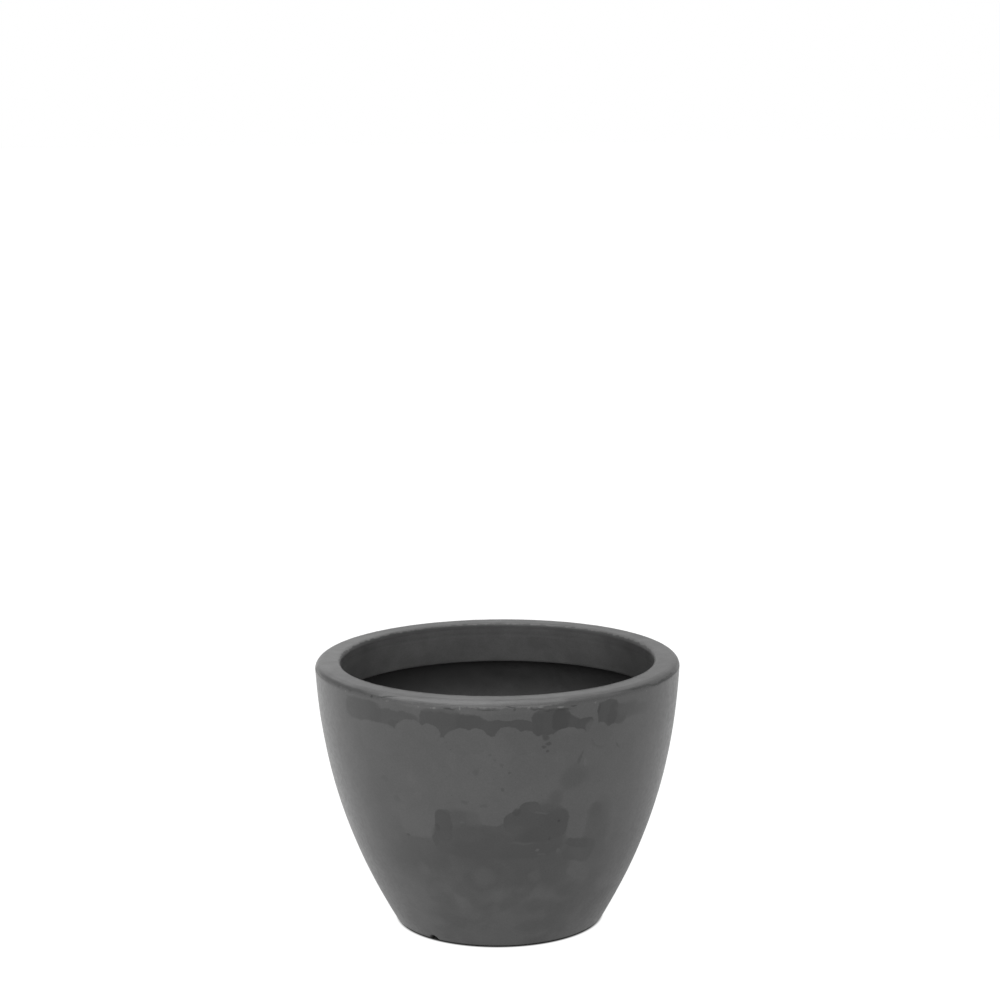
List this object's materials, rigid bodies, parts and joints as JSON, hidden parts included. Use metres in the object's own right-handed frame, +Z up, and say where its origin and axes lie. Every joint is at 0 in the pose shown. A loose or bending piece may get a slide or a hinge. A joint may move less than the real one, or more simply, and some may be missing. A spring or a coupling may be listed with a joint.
{
  "type": "concrete bowl planter",
  "caption": "Tapered round floor planter: a thin fibre-concrete bowl, a thick separately cast rim ring bedded on it, and a rubber plug in its drain.",
  "frame": {"origin": "centre of the flat foot ring that the planter stands on, on the floor", "axes": "+Z up along the bowl's axis; the pictured front faces -Y, with +X to its right"},
  "size_m": [0.4059, 0.406, 0.3],
  "materials": {
    "bowl_concrete": "matte",
    "rim_concrete": "matte",
    "mortar": "matte",
    "sleeve_plastic": "satin",
    "plug_rubber": "matte"
  },
  "bodies": {
    "planter": {"bowl_shell": "bowl_concrete", "rim_ring": "rim_concrete", "rim_mortar": "mortar", "drain_sleeve": "sleeve_plastic"},
    "plug": {"drain_plug": "plug_rubber"}
  },
  "joints": [
    {"name": "plug_lift", "type": "slide", "parent": "planter", "child": "plug", "axis": [0, 0, 1], "range_m": [0, 0.31]}
  ]
}
